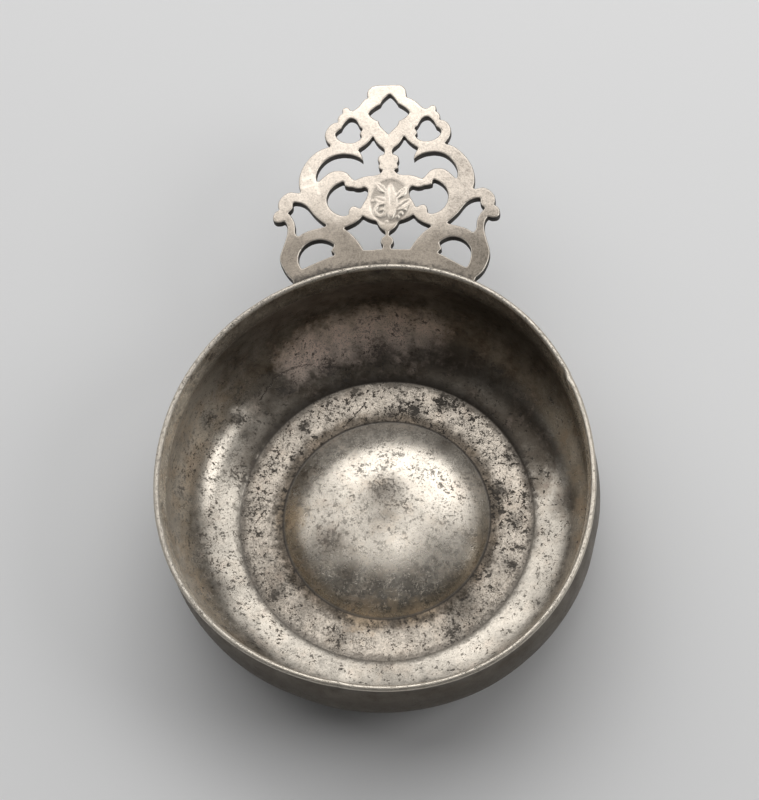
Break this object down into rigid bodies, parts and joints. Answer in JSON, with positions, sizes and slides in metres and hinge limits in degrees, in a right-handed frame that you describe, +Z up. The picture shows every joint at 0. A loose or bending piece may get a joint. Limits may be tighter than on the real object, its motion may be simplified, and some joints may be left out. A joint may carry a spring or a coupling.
{
  "type": "porringer",
  "caption": "Low bellied pewter bowl with a domed bottom and one flat pierced scrollwork ear, burned on below the lip.",
  "frame": {"origin": "on the bowl's axis, in the plane that the foot rests on", "axes": "+Z up along the bowl's axis, +Y from the axis along the ear, +X to the right seen from the front"},
  "size_m": [0.1334, 0.1956, 0.0441],
  "materials": {
    "bowl_pewter": "old pewter, turned and worn satin, with dark pits and blotches",
    "ear_pewter": "old pewter, as cast and hand-rubbed, with soft bright edges",
    "solder": "dull grey solder darkened by grime"
  },
  "bodies": {
    "root": {"bowl": "bowl_pewter", "ear": "ear_pewter", "ear_bracket": "ear_pewter", "seam_solder": "solder"}
  },
  "joints": []
}
